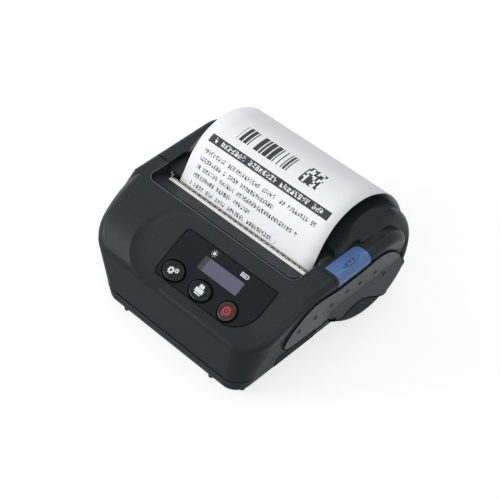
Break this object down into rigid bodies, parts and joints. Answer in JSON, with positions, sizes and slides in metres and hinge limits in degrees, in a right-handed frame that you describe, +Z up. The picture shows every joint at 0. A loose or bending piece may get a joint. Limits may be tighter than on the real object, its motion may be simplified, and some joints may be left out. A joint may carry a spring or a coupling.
{
  "type": "portable label printer",
  "caption": "Hand-sized label printer with a sloping control panel, a lid over the label roll, a side release lever and a printed label coming out.",
  "frame": {"origin": "centre of the footprint at the level of the rubber pads' undersides", "axes": "+Z up, -Y the front with the control panel, +X the side with the release lever"},
  "size_m": [0.1116, 0.105, 0.0663],
  "materials": {
    "case_plastic": "fine grain",
    "lower_plastic": "fine grain",
    "panel_plastic": "fine grain",
    "gloss_black": "gloss",
    "window": "tinted clear",
    "blue_plastic": "satin",
    "red_plastic": "gloss",
    "warm_metal": "plated",
    "soft_rubber": "matte",
    "flap_rubber": "matte",
    "steel": "brushed",
    "screw_steel": "zinc",
    "alloy": "satin",
    "brass": "polished",
    "white_plastic": "satin",
    "board_green": "satin",
    "chip_black": "satin",
    "ceramic_strip": "glazed",
    "label_paper": "matte",
    "core_card": "matte",
    "battery_shell": "fine grain"
  },
  "bodies": {
    "base": {"lower_case": "lower_plastic", "upper_case": "case_plastic", "side_panel_right": "panel_plastic", "side_panel_left": "panel_plastic", "control_plate": "gloss_black", "display_window": "window", "display_module": "chip_black", "key_board": "board_green", "key_switches": "steel", "key_board_screws": "screw_steel", "tear_bar": "steel", "mechanism_frame": "steel", "mechanism_screws": "screw_steel", "lid_catch": "steel", "head_pivot_shaft": "steel", "head_springs": "steel", "stepper_motor": "steel", "gear_shaft": "steel", "paper_sensor": "chip_black", "main_board": "board_green", "board_components": "chip_black", "board_screws": "screw_steel", "port_board": "board_green", "usb_socket": "steel", "power_jack": "chip_black", "roll_cradle": "chip_black", "battery_contacts": "brass", "rubber_pads": "soft_rubber", "case_screws": "screw_steel", "hinge_pins": "steel", "paper_web": "label_paper"},
    "lid": {"paper_lid": "case_plastic", "platen_bushes": "brass", "platen_bracket": "steel", "lid_screws": "screw_steel", "lever_pin": "steel", "paper_strip": "label_paper"},
    "lever": {"release_lever": "blue_plastic"},
    "platen": {"platen_roller": "soft_rubber", "platen_shaft": "steel", "platen_gear": "white_plastic"},
    "reduction": {"reduction_gear": "white_plastic"},
    "pinion": {"motor_pinion": "brass"},
    "head": {"head_carrier": "alloy", "print_head": "ceramic_strip"},
    "roll": {"paper_roll": "label_paper", "roll_core": "core_card"},
    "settings_key": {"settings_button": "gloss_black"},
    "feed_key": {"feed_button": "gloss_black"},
    "power_key": {"power_button": "warm_metal", "power_lens": "red_plastic"},
    "port_flap": {"port_cover": "flap_rubber"},
    "battery": {"battery_pack": "battery_shell"},
    "latch": {"battery_latch": "lower_plastic"}
  },
  "joints": [
    {"name": "lid_hinge", "type": "hinge", "parent": "base", "child": "lid", "pos_m": [0, 0.0504, 0.0205], "axis": [-1, 0, 0], "range_deg": [0, 70]},
    {"name": "lever_pull", "type": "hinge", "parent": "lid", "child": "lever", "pos_m": [0.048, 0, 0.0488], "axis": [0, -1, 0], "range_deg": [0, 14], "stiffness_Nm_per_rad": 0.05},
    {"name": "platen_spin", "type": "hinge", "parent": "lid", "child": "platen", "pos_m": [0, -0.0012, 0.039], "axis": [1, 0, 0], "continuous": true},
    {"name": "reduction_spin", "type": "hinge", "parent": "base", "child": "reduction", "pos_m": [0, -0.01423, 0.03357], "axis": [1, 0, 0], "continuous": true},
    {"name": "pinion_spin", "type": "hinge", "parent": "base", "child": "pinion", "pos_m": [0, -0.0265, 0.0306], "axis": [1, 0, 0], "continuous": true},
    {"name": "head_tilt", "type": "hinge", "parent": "base", "child": "head", "pos_m": [0, -0.0094, 0.0305], "axis": [1, 0, 0], "range_deg": [0, 1.5], "stiffness_Nm_per_rad": 0.5},
    {"name": "roll_spin", "type": "hinge", "parent": "base", "child": "roll", "pos_m": [0, 0.024, 0.02425], "axis": [1, 0, 0], "continuous": true},
    {"name": "settings_press", "type": "slide", "parent": "base", "child": "settings_key", "axis": [0, 0.4632, -0.8863], "range_m": [0, 0.0007], "stiffness_N_per_m": 400},
    {"name": "feed_press", "type": "slide", "parent": "base", "child": "feed_key", "axis": [0, 0.4632, -0.8863], "range_m": [0, 0.0007], "stiffness_N_per_m": 400},
    {"name": "power_press", "type": "slide", "parent": "base", "child": "power_key", "axis": [0, 0.4632, -0.8863], "range_m": [0, 0.0007], "stiffness_N_per_m": 400},
    {"name": "port_flap_hinge", "type": "hinge", "parent": "base", "child": "port_flap", "pos_m": [0.04272, 0, 0.0039], "axis": [0, 1, 0], "range_deg": [0, 90]},
    {"name": "battery_slide", "type": "slide", "parent": "base", "child": "battery", "axis": [0, 0, -1], "range_m": [0, 0.022]},
    {"name": "latch_slide", "type": "slide", "parent": "base", "child": "latch", "axis": [0, -1, 0], "range_m": [0, 0.0012], "stiffness_N_per_m": 200}
  ],
  "couplings": [
    {"joint": "reduction_spin", "follows": "platen_spin", "ratio": -0.64706},
    {"joint": "pinion_spin", "follows": "platen_spin", "ratio": 1.6639}
  ]
}
